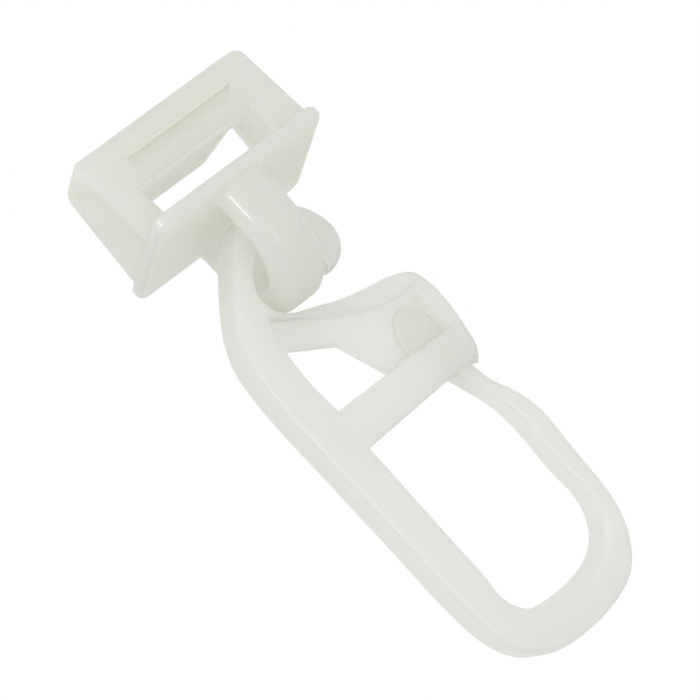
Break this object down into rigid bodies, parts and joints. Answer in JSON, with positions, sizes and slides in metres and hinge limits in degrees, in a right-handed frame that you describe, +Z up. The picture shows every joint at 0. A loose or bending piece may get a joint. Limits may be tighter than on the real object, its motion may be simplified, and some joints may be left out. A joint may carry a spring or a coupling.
{
  "type": "curtain hook",
  "caption": "Click-in rail glider with an eye, and a pleat hook with a closing spring arm that swings from it.",
  "frame": {"origin": "middle of the glider flange's upper face, which lies against the underside of the rail", "axes": "+X along the rail, +Y from the room side to the rear, +Z up into the rail"},
  "size_m": [0.0176, 0.0195, 0.0438],
  "materials": {
    "natural_plastic": "translucent satin"
  },
  "bodies": {
    "glider": {"track_glider": "natural_plastic"},
    "hook": {"pleat_hook": "natural_plastic"}
  },
  "joints": [
    {"name": "hook_swing", "type": "hinge", "parent": "glider", "child": "hook", "pos_m": [0, 0, -0.0037], "axis": [1, 0, 0], "range_deg": [-100, 56]}
  ]
}
